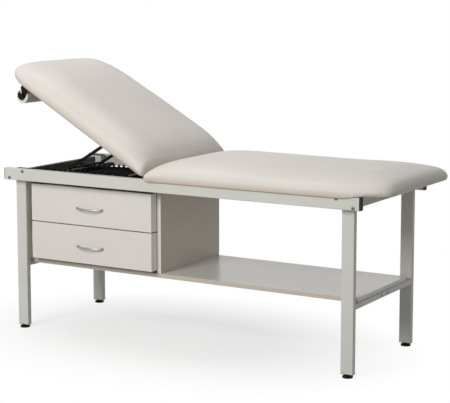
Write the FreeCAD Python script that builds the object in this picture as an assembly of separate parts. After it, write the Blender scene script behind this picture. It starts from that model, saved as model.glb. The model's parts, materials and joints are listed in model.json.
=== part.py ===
import FreeCAD, Part
import math
import os

os.makedirs("parts", exist_ok=True)
V = FreeCAD.Vector

# Treatment table: steel tube frame, full shelf, two-drawer cabinet, fixed padded seat
# and a padded backrest that is raised on a prop and a pair of toothed racks.
# X runs from the head end to the foot end, the drawers face -Y, Z is up, millimetres.

# Frame: rails, legs and cross bars
rail_length = 1708.0
rail_height = 51.0
rail_depth = 30.0
rail_top = 714.5
frame_width = 654.0
tube_wall = 2.0
tube_corner = 3.0
leg_width = 53.0
leg_depth = 25.0
leg_inset = 34.5
leg_top_drop = 5.0
plate_thickness = 3.0
plate_width = 96.0
plate_margin = 3.0
cap_flange = 3.0
cap_plug_depth = 18.0
plug_clearance = 0.2
leg_cap_height = 4.0
leg_cap_dome = 1.0
cross_bar_width = 20.0
lower_bar_height = 20.0
head_bar_height = 40.0
foot_bar_height = 43.0

# Bolts that hold the rails to the leg plates
bolt_radius = 4.0
bolt_clearance = 0.25
bolt_head_radius = 7.0
bolt_head_height = 4.0
bolt_spread = 36.0
bolt_rise = 16.0
nut_height = 6.5
nut_radius = 7.5
bolt_end = 2.0

# Levelling feet
leg_bottom = 15.0
foot_radius = 21.0
foot_height = 8.0
foot_edge = 2.0
foot_nut_radius = 9.0
foot_nut_gap = 0.5
stud_radius = 5.0
stud_length = 46.0
stud_fit = 0.08
insert_depth = 24.0
insert_flange = 1.5

# Shelf and drawer cabinet
shelf_bottom = 288.0
board = 18.0
shelf_side_gap = 30.0
shelf_end_gap = 9.5
panel_gap = 0.5
cabinet_width = 665.0
back_board = 6.0
top_board = 10.0
top_gap = 2.0
spacer_thickness = 21.0
spacer_height = 60.0
screw_head_radius = 5.0
screw_head_height = 2.5
screw_radius = 2.5
bar_screw_offset = 29.0
bar_screw_depth = 8.0

# Drawers
front_thickness = 19.0
front_setback = 46.0
front_head_gap = 36.0
front_foot_gap = 1.5
front_floor_gap = 12.0
front_gap = 3.0
front_top_gap = 15.5
front_edge = 1.5
box_side = 12.0
box_height = 140.0
box_rise = 10.0
box_depth = 430.0
box_bottom = 6.0
slide_thickness = 13.0
slide_height = 45.0
slide_sheet = 1.5
slide_lip = 6.0
slide_length = 420.0
slide_play = 0.4
runner_web_gap = 0.5
pull_span = 128.0
pull_reach = 26.0
pull_post = 10.0
pull_radius = 3.5
pull_base_radius = 6.0
pull_base_height = 2.0
pull_drop_share = 0.545

# Padded top
seat_length = 1108.0
back_length = 826.0
pad_width = 686.0
seat_pad_height = 72.5
back_pad_height = 78.0
foot_reach = 210.0
foot_tuck = 85.0
foot_tight = 60.0
head_reach = 118.0
head_tuck = 104.0
head_tight = 90.0
hinge_corner = 12.0
pad_height_shares = (0.0, 0.18, 0.41, 0.61, 0.77, 0.876, 0.945, 0.98, 1.0)
pad_inset_shares = (0.020, 0.0, 0.0015, 0.0175, 0.058, 0.14, 0.277, 0.437, 0.627)
pad_hinge_inset_share = 0.35
deck_thickness = 15.0
deck_inset = 32.0
relief_angle = 35.0
pad_end_gap = 8.0
back_lift = 1.0

# Hinges of the backrest
hinge_x = -128.6
hinge_rise = 0.5
hinge_y = 200.0
knuckle_radius = 5.0
knuckle_length = 16.0
knuckle_gap = 0.4
knuckle_count = 5
pin_radius = 3.0
pin_fit = 0.05
pin_head = 2.0
leaf_thickness = 2.5
leaf_length = 50.0
leaf_start = 6.0
hinge_bar_height = 20.0
hinge_bar_width = 40.0
rest_tilt = 30.0
most_tilt = 65.0

# Prop and toothed racks
prop_length = 303.0
prop_drop = 8.0
prop_y = 122.0
strut_thickness = 5.0
strut_width = 14.0
foot_rod_radius = 5.0
foot_rod_over = 3.0
pivot_pin_radius = 4.0
pivot_head = 2.5
pivot_ear_gap = 0.5
ear_thickness = 3.0
ear_half_width = 11.0
ear_foot = 22.0
rack_y = 111.0
rack_thickness = 6.0
rack_pitch = 27.0
tooth_depth = 11.0
tooth_land_share = 0.30
tooth_lean_share = 0.18
rack_clearance = 0.4
rack_tail = 34.0
rack_bar_height = 14.5
rack_bar_width = 30.0
rack_bar_inset = 28.0

# Paper roll under the head end
roll_along = 737.0
roll_drop = 67.0
roll_width = 533.0
roll_radius = 31.0
core_radius = 17.0
core_fit = 0.3
rod_radius = 6.0
rod_fit = 0.3
hub_radius = 14.0
hub_thickness = 6.0
hub_gap = 0.6
hanger_thickness = 3.0
hanger_gap = 1.5
hanger_half = 17.0
hanger_foot = 26.0
hanger_hook = 13.0
hanger_slot_rise_share = 0.50
hanger_slot_angle = 45.0

# Shared by every cut that has to pass through
overrun = 5.0

# Worked out from the sizes above
half_rail = rail_length / 2
rail_bottom = rail_top - rail_height
rail_face = frame_width / 2
rail_inner = rail_face - rail_depth
leg_face = rail_inner - plate_thickness
leg_inner = leg_face - leg_depth
leg_x = half_rail - leg_inset - leg_width / 2
leg_edge = leg_x + leg_width / 2
leg_top = rail_top - leg_top_drop
shelf_top = shelf_bottom + board
half_shelf = leg_inner - shelf_side_gap
half_length = leg_edge - shelf_end_gap
cabinet_head_inner = board + panel_gap + cross_bar_width - leg_edge
cabinet_foot_inner = cabinet_head_inner + cabinet_width
front_face = front_setback - rail_face
front_left = cabinet_head_inner + front_head_gap
front_right = cabinet_foot_inner - front_foot_gap
front_base = shelf_top + front_floor_gap
front_top = rail_bottom - front_top_gap
rack_base = rail_bottom + rack_bar_height
hinge_z = rail_top - hinge_rise
back_base = rail_top + back_lift
tilt = math.radians(rest_tilt)
rack_slope = math.asin((hinge_z - back_base + prop_drop) / prop_length)
side_signs = (-1, 1)


def box(x0, x1, y0, y1, z0, z1):
    """A block between two corners given in any order."""
    low = V(min(x0, x1), min(y0, y1), min(z0, z1))
    return Part.makeBox(abs(x1 - x0), abs(y1 - y0), abs(z1 - z0), low)


def rod(start, end, radius):
    """A round bar from one point to another."""
    run = end.sub(start)
    return Part.makeCylinder(radius, run.Length, start, run)


def tube(x0, x1, y0, y1, z0, z1, along):
    """A rectangular steel tube with rounded edges and open ends along one axis."""
    solid = box(x0, x1, y0, y1, z0, z1)
    axis = V(along == "x", along == "y", along == "z")
    edges = []
    for edge in solid.Edges:
        line = edge.Vertexes[1].Point.sub(edge.Vertexes[0].Point)
        if abs(line.dot(axis)) > line.Length / 2:
            edges.append(edge)
    solid = solid.makeFillet(tube_corner, edges)
    reach = V(x1 - x0, y1 - y0, z1 - z0)
    low = V(x0, y0, z0)
    hollow_low = V()
    hollow_size = V()
    for name in ("x", "y", "z"):
        through = name == along
        setattr(hollow_low, name, getattr(low, name) + (-overrun if through else tube_wall))
        grown = 2 * overrun if through else -2 * tube_wall
        setattr(hollow_size, name, getattr(reach, name) + grown)
    hollow = Part.makeBox(hollow_size.x, hollow_size.y, hollow_size.z, hollow_low)
    return solid.cut(hollow)


def prism(points, y0, y1):
    """A plate whose outline lies in the XZ plane, between two Y values."""
    corners = [V(x, y0, z) for x, z in points]
    face = Part.Face(Part.makePolygon(corners + corners[:1]))
    return face.extrude(V(0, y1 - y0, 0))


def hexagon(centre, direction, radius, height):
    """A hexagonal nut body standing on a point along a direction."""
    outline = Part.makePolygon([
        V(radius * math.cos(k * math.pi / 3), radius * math.sin(k * math.pi / 3), 0) for k in range(7)
    ])
    solid = Part.Face(outline).extrude(V(0, 0, height))
    solid.Placement = FreeCAD.Placement(centre, FreeCAD.Rotation(V(0, 0, 1), direction))
    return solid


def mirrored(shape):
    """The same piece on the other side of the table's long centre plane."""
    return shape.mirror(V(0, 0, 0), V(0, 1, 0))


def raised(shape):
    """A piece of the flat backrest turned up about the hinge to the rest angle."""
    turned = shape.copy()
    turned.rotate(V(hinge_x, 0, hinge_z), V(0, 1, 0), rest_tilt)
    return turned


def group(shapes):
    """Separate solids that share one node."""
    return Part.makeCompound(shapes)


def bolt_places():
    """Axis points, in X and Z, of the rail bolts on either side."""
    middle = rail_bottom + rail_height / 2
    places = []
    for end in side_signs:
        places.append((end * (leg_x - bolt_spread), middle + bolt_rise))
        places.append((end * (leg_x + bolt_spread), middle - bolt_rise))
    return places


def bolt_holes(side, near, far):
    """Round cutters for the rail bolts between two distances from the centre plane."""
    holes = []
    for x, z in bolt_places():
        holes.append(rod(V(x, side * near, z), V(x, side * far, z), bolt_radius + bolt_clearance))
    return group(holes)


def make_rail(side):
    """One long rail with holes for its leg bolts."""
    y0, y1 = sorted((side * rail_inner, side * rail_face))
    rail = tube(-half_rail, half_rail, y0, y1, rail_bottom, rail_top, "x")
    return rail.cut(bolt_holes(side, rail_inner - overrun, rail_face + overrun))


def make_rail_caps():
    """Plastic plugs in the four open rail ends."""
    caps = []
    inset = tube_wall + plug_clearance
    for side in side_signs:
        for end in side_signs:
            y0, y1 = sorted((side * rail_inner, side * rail_face))
            flange = box(end * half_rail, end * (half_rail + cap_flange), y0, y1, rail_bottom, rail_top)
            plug = box(end * half_rail, end * (half_rail - cap_plug_depth), y0 + inset, y1 - inset,
                       rail_bottom + inset, rail_top - inset)
            edges = [e for e in flange.Edges if abs(e.Vertexes[1].X - e.Vertexes[0].X) > cap_flange / 2]
            caps.append(flange.makeFillet(tube_corner, edges).fuse(plug).removeSplitter())
    return group(caps)


def make_leg(side, end):
    """One leg tube with its welded mounting plate."""
    y0, y1 = sorted((side * leg_inner, side * leg_face))
    x = end * leg_x
    leg = tube(x - leg_width / 2, x + leg_width / 2, y0, y1, leg_bottom, leg_top, "z")
    plate = box(x - plate_width / 2, x + plate_width / 2, side * leg_face, side * rail_inner,
                rail_bottom + plate_margin, rail_top - plate_margin)
    holes = bolt_holes(side, leg_face - overrun, rail_inner + overrun)
    return leg.fuse(plate.cut(holes)).removeSplitter()


def make_leg_caps():
    """Domed plastic caps in the tops of the legs."""
    caps = []
    inset = tube_wall + plug_clearance
    half_x = leg_width / 2
    for side in side_signs:
        for end in side_signs:
            x = end * leg_x
            y0, y1 = sorted((side * leg_inner, side * leg_face))
            lid = box(x - half_x, x + half_x, y0, y1, leg_top, leg_top + leg_cap_height)
            top = [e for e in lid.Edges if min(v.Z for v in e.Vertexes) > leg_top + leg_cap_height / 2]
            plug = box(x - half_x + inset, x + half_x - inset, y0 + inset, y1 - inset,
                       leg_top - cap_plug_depth, leg_top)
            caps.append(lid.makeFillet(leg_cap_dome, top).fuse(plug).removeSplitter())
    return group(caps)


def make_bolts():
    """Button-head bolts through rails and leg plates."""
    bolts = []
    tip = leg_face - nut_height - bolt_end
    for side in side_signs:
        for x, z in bolt_places():
            seat = V(x, side * rail_face, z)
            crown = V(x, side * (rail_face + bolt_head_height), z)
            shank = rod(V(x, side * tip, z), seat, bolt_radius)
            bolts.append(shank.fuse(rod(seat, crown, bolt_head_radius)).removeSplitter())
    return group(bolts)


def make_nuts():
    """Hexagon nuts behind the leg plates."""
    nuts = []
    for side in side_signs:
        holes = bolt_holes(side, leg_face - nut_height - overrun, leg_face + overrun)
        for x, z in bolt_places():
            back = V(x, side * (leg_face - nut_height), z)
            nuts.append(hexagon(back, V(0, side, 0), nut_radius, nut_height).cut(holes))
    return group(nuts)


def make_leveler(side, end):
    """One levelling foot: round glide, hexagon collar and threaded stud."""
    x = end * leg_x
    y = side * (leg_face - leg_depth / 2)
    glide = Part.makeCylinder(foot_radius, foot_height, V(x, y, 0))
    rims = [e for e in glide.Edges if e.BoundBox.ZMin > foot_height / 2]
    glide = glide.makeFillet(foot_edge, rims)
    collar_height = leg_bottom - insert_flange - foot_nut_gap - foot_height
    collar = hexagon(V(x, y, foot_height), V(0, 0, 1), foot_nut_radius, collar_height)
    stud = Part.makeCylinder(stud_radius, stud_length, V(x, y, foot_height))
    return glide.fuse(collar).fuse(stud).removeSplitter()


def make_inserts():
    """Tube-end plugs with the threaded bores for the levelling feet."""
    inserts = []
    inset = tube_wall + plug_clearance
    half_x = leg_width / 2
    for side in side_signs:
        for end in side_signs:
            x = end * leg_x
            y0, y1 = sorted((side * leg_inner, side * leg_face))
            plug = box(x - half_x + inset, x + half_x - inset, y0 + inset, y1 - inset,
                       leg_bottom, leg_bottom + insert_depth)
            flange = box(x - half_x, x + half_x, y0, y1, leg_bottom - insert_flange, leg_bottom)
            bore = Part.makeCylinder(stud_radius + stud_fit, insert_depth + insert_flange + 2 * overrun,
                                     V(x, (y0 + y1) / 2, leg_bottom - insert_flange - overrun))
            inserts.append(plug.fuse(flange).cut(bore).removeSplitter())
    return group(inserts)


def make_cross_bar(end, z0, z1):
    """A tube across the table between a front leg and a rear leg."""
    x0, x1 = sorted((end * leg_edge, end * (leg_edge - cross_bar_width)))
    return tube(x0, x1, -leg_inner, leg_inner, z0, z1, "y")


def bar_screw_shanks(end):
    """Shanks of the two screws through the outer wall of one lower cross bar."""
    z = shelf_bottom - lower_bar_height / 2
    shanks = []
    for side in side_signs:
        outer = V(end * leg_edge, side * bar_screw_offset, z)
        inner = V(end * (leg_edge - bar_screw_depth), side * bar_screw_offset, z)
        shanks.append(rod(inner, outer, screw_radius))
    return shanks


def make_lower_bar(end):
    """A cross bar under the shelf, with holes for its screws."""
    bar = make_cross_bar(end, shelf_bottom - lower_bar_height, shelf_bottom)
    return bar.cut(group(bar_screw_shanks(end)))


def make_bar_screws():
    """Pan-head screws in the outer faces of the lower cross bars."""
    z = shelf_bottom - lower_bar_height / 2
    screws = []
    for end in side_signs:
        for side, shank in zip(side_signs, bar_screw_shanks(end)):
            seat = V(end * leg_edge, side * bar_screw_offset, z)
            crown = V(end * (leg_edge + screw_head_height), side * bar_screw_offset, z)
            screws.append(shank.fuse(rod(seat, crown, screw_head_radius)).removeSplitter())
    return group(screws)


def make_shelf():
    """The full-length laminate shelf on the lower cross bars."""
    return box(-half_length, half_length, -half_shelf, half_shelf, shelf_bottom, shelf_top)


def make_cabinet_panel(inner, outward):
    """One upright panel of the cabinet."""
    return box(inner, inner + outward * board, -half_shelf, half_shelf, shelf_top, rail_bottom)


def make_cabinet_back():
    """Thin back board between the two panels."""
    return box(cabinet_head_inner, cabinet_foot_inner, half_shelf - back_board, half_shelf,
               shelf_top, rail_bottom - top_gap - top_board)


def make_cabinet_top():
    """Dust board that closes the cabinet under the rails."""
    return box(cabinet_head_inner, cabinet_foot_inner, -half_shelf, half_shelf,
               rail_bottom - top_gap - top_board, rail_bottom - top_gap)


front_height = (front_top - front_base - front_gap) / 2
drawer_bases = (front_base, front_base + front_height + front_gap)
box_left = cabinet_head_inner + spacer_thickness + slide_thickness
box_right = cabinet_foot_inner - slide_thickness
box_front = front_face + front_thickness


def slide_axis(base):
    """Height of the middle of the slides of one drawer."""
    return base + box_rise + box_height / 2


def make_spacers():
    """Wooden fillers that bring the head-side slides past the legs."""
    fillers = []
    for base in drawer_bases:
        z = slide_axis(base)
        fillers.append(box(cabinet_head_inner, cabinet_head_inner + spacer_thickness, -half_shelf,
                           half_shelf - back_board, z - spacer_height / 2, z + spacer_height / 2))
    return group(fillers)


def slide_channel(wall, inward, z):
    """Fixed C-shaped member of one slide, with lips that hold the runner."""
    half = slide_height / 2
    y0 = -half_shelf
    y1 = y0 + slide_length
    depth = slide_thickness - runner_web_gap - slide_sheet
    web = box(wall, wall + inward * slide_sheet, y0, y1, z - half, z + half)
    parts = [web]
    for up in side_signs:
        edge = z + up * half
        parts.append(box(wall, wall + inward * depth, y0, y1, edge, edge - up * slide_sheet))
        parts.append(box(wall + inward * (depth - slide_sheet), wall + inward * depth, y0, y1,
                         edge, edge - up * slide_lip))
    return parts[0].multiFuse(parts[1:]).removeSplitter()


def make_channels():
    """The four fixed slide members inside the cabinet."""
    channels = []
    for base in drawer_bases:
        z = slide_axis(base)
        channels.append(slide_channel(cabinet_head_inner + spacer_thickness, 1, z))
        channels.append(slide_channel(cabinet_foot_inner, -1, z))
    return group(channels)


def make_runners(base):
    """The two sliding members screwed to one drawer box."""
    z = slide_axis(base)
    half = slide_height / 2 - slide_lip - slide_play
    runners = []
    for wall, outward in ((box_left, -1), (box_right, 1)):
        reach = slide_thickness - slide_sheet - runner_web_gap
        y1 = -half_shelf + slide_length
        web = box(wall, wall + outward * slide_sheet, -half_shelf, y1, z - half, z + half)
        flanges = []
        for up in side_signs:
            edge = z + up * half
            flanges.append(box(wall, wall + outward * reach, -half_shelf, y1, edge, edge - up * slide_sheet))
        runners.append(web.multiFuse(flanges).removeSplitter())
    return group(runners)


def make_front(base):
    """A drawer front with eased edges."""
    front = box(front_left, front_right, front_face, box_front, base, base + front_height)
    edges = [e for e in front.Edges if max(v.Y for v in e.Vertexes) < front_face + front_thickness / 2]
    return front.makeFillet(front_edge, edges)


def make_sides(base):
    """The two side boards of a drawer box."""
    z0 = base + box_rise
    y1 = box_front + box_depth
    left = box(box_left, box_left + box_side, box_front, y1, z0, z0 + box_height)
    right = box(box_right, box_right - box_side, box_front, y1, z0, z0 + box_height)
    return group([left, right])


def make_box_back(base):
    """The back board of a drawer box."""
    y1 = box_front + box_depth
    z0 = base + box_rise
    return box(box_left + box_side, box_right - box_side, y1 - box_side, y1, z0, z0 + box_height)


def make_box_bottom(base):
    """The bottom board of a drawer box, between sides, back and front."""
    y1 = box_front + box_depth - box_side
    z0 = base + box_rise
    return box(box_left + box_side, box_right - box_side, box_front, y1, z0, z0 + box_bottom)


def make_pull(base):
    """A bow pull: a bent round bar on two posts with round base discs."""
    x = (front_left + front_right) / 2
    z = base + front_height * (1 - pull_drop_share)
    half = pull_span / 2
    rise = pull_reach - pull_post
    bend = (half * half + rise * rise) / (2 * rise)
    centre = V(x, front_face - pull_reach + bend, z)
    sweep = math.degrees(math.asin(half / bend))
    start = V(x - half, front_face - pull_post, z)
    tangent = V(0, 0, 1).cross(start.sub(centre))
    section = Part.Face(Part.Wire(Part.makeCircle(pull_radius, start, tangent)))
    bar = section.revolve(centre, V(0, 0, 1), 2 * sweep)
    pieces = []
    for side in side_signs:
        foot = V(x + side * half, front_face, z)
        tip = V(foot.x, front_face - pull_post, z)
        pieces.append(rod(foot, tip, pull_radius))
        pieces.append(Part.makeSphere(pull_radius, tip))
        pieces.append(rod(foot, V(foot.x, front_face - pull_base_height, z), pull_base_radius))
    return bar.multiFuse(pieces).removeSplitter()


def arc(heart, first, last):
    """An arc about a point from one point to another, by the shorter way."""
    out = first.sub(heart)
    middle = out.add(last.sub(heart))
    middle.normalize()
    return Part.Arc(first, heart.add(middle.multiply(out.Length)), last).toShape()


def pad_outline(x_hinge, x_end, half_width, z, hinge_round, reach, tuck, tight):
    """A plan outline at one height: round hinge corners, end corners of a wide and a tight arc."""
    toward = 1 if x_end > x_hinge else -1
    wide = ((reach - tight) ** 2 + tuck ** 2 - tight ** 2) / (2 * (tuck - tight))
    sides = []
    for side in side_signs:
        hinge_heart = V(x_hinge + toward * hinge_round, side * (half_width - hinge_round), z)
        at_hinge = V(x_hinge, hinge_heart.y, z)
        side_start = V(hinge_heart.x, side * half_width, z)
        side_end = V(x_end - toward * reach, side * half_width, z)
        at_end = V(x_end, side * (half_width - tuck), z)
        wide_heart = V(side_end.x, side * (half_width - wide), z)
        tight_heart = V(x_end - toward * tight, at_end.y, z)
        line = tight_heart.sub(wide_heart)
        line.normalize()
        meeting = tight_heart.add(line.multiply(tight))
        edges = [arc(hinge_heart, at_hinge, side_start), Part.LineSegment(side_start, side_end).toShape(),
                 arc(wide_heart, side_end, meeting), arc(tight_heart, meeting, at_end)]
        sides.append((at_hinge, edges, at_end))
    (hinge_near, near_edges, end_near), (hinge_far, far_edges, end_far) = sides
    end_line = Part.LineSegment(end_near, end_far).toShape()
    hinge_line = Part.LineSegment(hinge_far, hinge_near).toShape()
    return Part.Wire(near_edges + [end_line] + far_edges[::-1] + [hinge_line])


def make_pad(length, height, base, corner, toward):
    """A crowned cushion whose sides draw in, relieved at its hinge end for the tilt."""
    half = pad_width / 2
    slope = math.tan(math.radians(relief_angle))
    outlines = []
    for height_share, inset_share in zip(pad_height_shares, pad_inset_shares):
        z = base + height_share * height
        inset = inset_share * half
        hinge_end = hinge_x + toward * max(pad_end_gap, (z - hinge_z) * slope)
        narrowed = (half - inset) / half
        outlines.append(pad_outline(hinge_end + toward * inset * pad_hinge_inset_share,
                                    hinge_x + toward * (length - inset), half - inset, z,
                                    hinge_corner * narrowed, *[size * narrowed for size in corner]))
    return Part.makeLoft(outlines, True, False)


def make_deck(length, base, corner, toward):
    """The plywood board under a cushion."""
    half = pad_width / 2 - deck_inset
    outline = pad_outline(hinge_x + toward * deck_inset, hinge_x + toward * (length - deck_inset), half, base,
                          hinge_corner, *[size - deck_inset for size in corner])
    return Part.Face(outline).extrude(V(0, 0, deck_thickness))


def knuckle_spans(first):
    """Y spans of every other hinge knuckle, about the middle of one hinge."""
    spans = []
    start = -knuckle_count * knuckle_length / 2
    for index in range(first, knuckle_count, 2):
        low = start + index * knuckle_length + knuckle_gap / 2
        spans.append((low, low + knuckle_length - knuckle_gap))
    return spans


def hinge_leaf(y, toward, base, first):
    """One leaf of a hinge with its knuckles, lying under a deck whose underside is base."""
    half = knuckle_count * knuckle_length / 2
    edge = hinge_x + toward * leaf_start
    low = base - leaf_thickness
    leaf = box(edge, edge + toward * leaf_length, y - half, y + half, low, base)
    pieces = []
    for start, end in knuckle_spans(first):
        pieces.append(rod(V(hinge_x, y + start, hinge_z), V(hinge_x, y + end, hinge_z), knuckle_radius))
        pieces.append(box(hinge_x, edge, y + start, y + end, low, base))
    bore_start = V(hinge_x, y - half - overrun, hinge_z)
    bore_end = V(hinge_x, y + half + overrun, hinge_z)
    bore = rod(bore_start, bore_end, pin_radius + pin_fit)
    return leaf.multiFuse(pieces).cut(bore).removeSplitter()


def make_hinge_pins():
    """Headed pins of the two hinges."""
    pins = []
    half = knuckle_count * knuckle_length / 2
    for side in side_signs:
        y = side * hinge_y
        pin = rod(V(hinge_x, y - half, hinge_z), V(hinge_x, y + half, hinge_z), pin_radius)
        for tip in side_signs:
            neck = V(hinge_x, y + tip * half, hinge_z)
            end = V(hinge_x, neck.y + tip * pin_head, hinge_z)
            pin = pin.fuse(rod(neck, end, knuckle_radius))
        pins.append(pin.removeSplitter())
    return group(pins)


def make_hinge_bar():
    """Cross tube between the rails that carries the fixed hinge leaves and the seat's end."""
    x0 = hinge_x + leaf_start
    top = rail_top - leaf_thickness
    return tube(x0, x0 + hinge_bar_width, -rail_inner, rail_inner, top - hinge_bar_height, top, "y")


def prop_pivot():
    """Prop pivot in the flat backrest, in X and Z."""
    drop = back_base - prop_drop
    run = math.sqrt(prop_length ** 2 - (hinge_z - drop) ** 2)
    return V(hinge_x - run, 0, drop)


def raised_point(point):
    """Where a point of the flat backrest stands at the rest angle."""
    turn = FreeCAD.Rotation(V(0, 1, 0), rest_tilt)
    hinge = V(hinge_x, 0, hinge_z)
    return hinge.add(turn.multVec(point.sub(hinge)))


def foot_place(angle):
    """Where the prop's foot rod lies when the backrest is raised by an angle in radians."""
    reach = 2 * prop_length * math.cos(angle)
    return V(hinge_x - reach * math.cos(rack_slope), 0, hinge_z - reach * math.sin(rack_slope))


pivot = raised_point(prop_pivot())
foot = foot_place(tilt)


def make_struts():
    """The two flat bars of the prop, with round ends and bored eyes."""
    run = foot.sub(pivot)
    flat = V(run.x, 0, run.z)
    flat.normalize()
    across = V(-flat.z, 0, flat.x).multiply(strut_width / 2)
    struts = []
    for side in side_signs:
        y = side * prop_y
        shift = V(0, y - strut_thickness / 2, 0)
        depth = V(0, strut_thickness, 0)
        corners = [pivot.add(across), foot.add(across), foot.sub(across), pivot.sub(across)]
        bar = Part.Face(Part.makePolygon(corners + corners[:1])).extrude(depth)
        for heart in (pivot, foot):
            bar = bar.fuse(Part.makeCylinder(strut_width / 2, strut_thickness, heart, depth))
        bar.translate(shift)
        eye = V(pivot.x, y - strut_thickness, pivot.z)
        bar = bar.cut(Part.makeCylinder(pivot_pin_radius + pin_fit, 2 * strut_thickness, eye, depth))
        hole = V(foot.x, y - strut_thickness, foot.z)
        bar = bar.cut(Part.makeCylinder(foot_rod_radius, 2 * strut_thickness, hole, depth))
        struts.append(bar.removeSplitter())
    return group(struts)


def make_foot_rod():
    """The rod across the foot of the prop that drops into the racks."""
    half = prop_y + strut_thickness / 2 + foot_rod_over
    return rod(V(foot.x, -half, foot.z), V(foot.x, half, foot.z), foot_rod_radius)


ear_inner = prop_y + strut_thickness / 2 + pivot_ear_gap
ear_outer = ear_inner + ear_thickness


def make_pivot_ears():
    """Angle brackets under the backrest deck that carry the prop pins, built flat then raised."""
    ears = []
    heart = prop_pivot()
    for side in side_signs:
        tongue = box(heart.x - ear_half_width, heart.x + ear_half_width, side * ear_inner, side * ear_outer,
                     heart.z, back_base)
        inner = V(heart.x, side * ear_inner, heart.z)
        outer = V(heart.x, side * ear_outer, heart.z)
        nose = rod(inner, outer, ear_half_width)
        above = box(heart.x - 2 * ear_half_width, heart.x + 2 * ear_half_width, side * (ear_inner - overrun),
                    side * (ear_outer + overrun), back_base, back_base + 2 * ear_half_width)
        foot_plate = box(heart.x - ear_half_width, heart.x + ear_half_width, side * ear_inner,
                         side * (ear_inner + ear_foot), back_base - ear_thickness, back_base)
        ear = tongue.fuse(nose.cut(above)).fuse(foot_plate).cut(rod(inner, outer, pivot_pin_radius))
        ears.append(raised(ear.removeSplitter()))
    return group(ears)


def make_pivot_pins():
    """Headed pins that join the struts to the ears, built flat then raised."""
    pins = []
    heart = prop_pivot()
    inner = prop_y - strut_thickness / 2 - pivot_ear_gap
    for side in side_signs:
        pin = rod(V(heart.x, side * inner, heart.z), V(heart.x, side * ear_outer, heart.z), pivot_pin_radius)
        head = rod(V(heart.x, side * (inner - pivot_head), heart.z), V(heart.x, side * inner, heart.z),
                   pivot_pin_radius + pivot_head)
        pins.append(raised(pin.fuse(head).removeSplitter()))
    return group(pins)


def rack_top(x):
    """Height of the tooth tips at one X, just under the path of the foot rod."""
    along = (hinge_x - x) / math.cos(rack_slope)
    return hinge_z - along * math.sin(rack_slope) - foot_rod_radius - rack_clearance


def make_racks():
    """Two toothed bars whose hooked notches catch the foot rod."""
    first = foot_place(0).x - rack_tail
    last = foot_place(math.radians(most_tilt)).x + rack_tail
    outline = [(last, rack_base), (first, rack_base), (first, rack_top(first))]
    x = first + rack_tail
    land = rack_pitch * tooth_land_share
    lean = rack_pitch * tooth_lean_share
    while x + rack_pitch < last:
        outline.append((x, rack_top(x)))
        outline.append((x - lean, rack_top(x) - tooth_depth / 2))
        outline.append((x, rack_top(x) - tooth_depth))
        outline.append((x + rack_pitch - land - lean, rack_top(x) - tooth_depth))
        outline.append((x + rack_pitch - land, rack_top(x + rack_pitch - land)))
        x += rack_pitch
    outline.append((last, rack_top(last)))
    racks = []
    for side in side_signs:
        y = side * rack_y
        racks.append(prism(outline, y - rack_thickness / 2, y + rack_thickness / 2))
    return group(racks)


def make_rack_bars():
    """Two flat cross bars between the rails that carry the racks."""
    first = foot_place(0).x - rack_tail
    last = foot_place(math.radians(most_tilt)).x + rack_tail
    bars = []
    for start in (first + rack_bar_inset, last - rack_bar_inset - rack_bar_width):
        bars.append(box(start, start + rack_bar_width, -rail_inner, rail_inner, rail_bottom, rack_base))
    return group(bars)


roll_x = hinge_x - roll_along
roll_z = back_base - roll_drop
hanger_inner = roll_width / 2 + hanger_gap
hanger_outer = hanger_inner + hanger_thickness
rod_tip = hanger_outer + hub_gap


def make_hanger():
    """The front hook-shaped bracket of the paper roll, built flat then raised."""
    side = -1
    throat = rod_radius + rod_fit
    neck = roll_z + roll_drop * hanger_slot_rise_share
    top = back_base
    toe = roll_x - hanger_half - throat
    outline = [
        (roll_x + hanger_half, top), (roll_x + hanger_half, roll_z), (roll_x + throat, roll_z - hanger_hook),
        (roll_x - hanger_half, roll_z - hanger_hook), (toe, roll_z), (toe, neck), (roll_x - hanger_half, top),
    ]
    plate = prism(outline, side * hanger_outer, side * hanger_inner)
    near = side * (hanger_outer + overrun)
    seat = rod(V(roll_x, near, roll_z), V(roll_x, side * (hanger_inner - overrun), roll_z), throat)
    slot = box(roll_x, roll_x - 2 * hanger_half - throat, near, side * (hanger_inner - overrun),
               roll_z - throat, roll_z + throat)
    slot.rotate(V(roll_x, 0, roll_z), V(0, 1, 0), hanger_slot_angle)
    foot_plate = box(roll_x - hanger_half, roll_x + hanger_half, side * hanger_inner,
                     side * (hanger_inner - hanger_foot), top - hanger_thickness, top)
    return raised(plate.cut(seat.fuse(slot)).fuse(foot_plate).removeSplitter())


def make_roll_rod():
    """The rod through the paper core, with an end knob outside each bracket."""
    axle = rod(V(roll_x, -rod_tip, roll_z), V(roll_x, rod_tip, roll_z), rod_radius)
    for side in side_signs:
        neck = V(roll_x, side * rod_tip, roll_z)
        end = V(roll_x, side * (rod_tip + hub_thickness), roll_z)
        axle = axle.fuse(rod(neck, end, hub_radius))
    return raised(axle.removeSplitter())


def sleeve(radius, bore):
    """A tube of the roll's width about its axis."""
    half = roll_width / 2
    outer = rod(V(roll_x, -half, roll_z), V(roll_x, half, roll_z), radius)
    return outer.cut(rod(V(roll_x, -half - overrun, roll_z), V(roll_x, half + overrun, roll_z), bore))


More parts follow.
